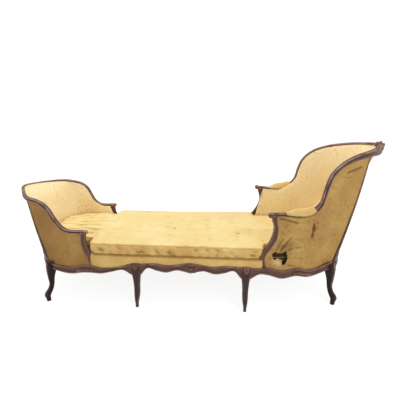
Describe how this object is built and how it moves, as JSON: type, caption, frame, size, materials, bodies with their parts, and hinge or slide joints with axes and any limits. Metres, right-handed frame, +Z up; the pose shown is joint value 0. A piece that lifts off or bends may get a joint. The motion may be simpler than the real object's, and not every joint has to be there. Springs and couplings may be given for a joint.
{
  "type": "recamier",
  "caption": "Gondola day bed with a high padded head end, a low foot end, a serpentine carved frame on cabriole legs and a loose squab cushion.",
  "frame": {"origin": "on the floor, under the middle of the overall length and width", "axes": "+X towards the high head end, +Y towards the far side, +Z up"},
  "size_m": [2.2804, 0.7434, 0.9647],
  "materials": {
    "show_wood": "dark walnut stain, waxed and rubbed",
    "frame_wood": "bare beech",
    "silk_damask": "worn yellow silk damask",
    "outside_damask": "darkened yellow silk damask",
    "webbing": "plain woven jute"
  },
  "bodies": {
    "frame": {"foot_near_side_rail": "show_wood", "centre_near_side_rail": "show_wood", "head_near_side_rail": "show_wood", "foot_far_side_rail": "show_wood", "centre_far_side_rail": "show_wood", "head_far_side_rail": "show_wood", "head_end_rail": "show_wood", "head_near_arm_rail": "show_wood", "head_near_wing_rail": "show_wood", "head_crest_rail": "show_wood", "head_far_wing_rail": "show_wood", "head_far_arm_rail": "show_wood", "head_near_corner_leg": "show_wood", "head_near_middle_leg": "show_wood", "head_near_arm_post": "show_wood", "head_near_rear_post": "show_wood", "head_far_corner_leg": "show_wood", "head_far_middle_leg": "show_wood", "head_far_arm_post": "show_wood", "head_far_rear_post": "show_wood", "head_lower_back_rail": "frame_wood", "foot_end_rail": "show_wood", "foot_near_arm_rail": "show_wood", "foot_near_wing_rail": "show_wood", "foot_crest_rail": "show_wood", "foot_far_wing_rail": "show_wood", "foot_far_arm_rail": "show_wood", "foot_near_corner_leg": "show_wood", "foot_near_middle_leg": "show_wood", "foot_near_arm_post": "show_wood", "foot_near_rear_post": "show_wood", "foot_far_corner_leg": "show_wood", "foot_far_middle_leg": "show_wood", "foot_far_arm_post": "show_wood", "foot_far_rear_post": "show_wood", "foot_lower_back_rail": "frame_wood", "head_near_outside_cover": "outside_damask", "head_far_outside_cover": "outside_damask", "head_back_outside_cover": "outside_damask", "foot_near_outside_cover": "outside_damask", "foot_far_outside_cover": "outside_damask", "foot_back_outside_cover": "outside_damask", "head_inside_back": "silk_damask", "foot_inside_back": "silk_damask", "head_near_arm_pad": "silk_damask", "head_far_arm_pad": "silk_damask", "foot_cross_bearer": "frame_wood", "centre_cross_bearer": "frame_wood", "head_cross_bearer": "frame_wood", "webbing": "webbing", "stuffed_seat": "silk_damask", "near_seat_border": "silk_damask", "far_seat_border": "silk_damask"},
    "squab": {"squab_cushion": "silk_damask"}
  },
  "joints": [
    {"name": "squab_lift", "type": "slide", "parent": "frame", "child": "squab", "axis": [0, 0, 1], "range_m": [0, 0.66]}
  ]
}
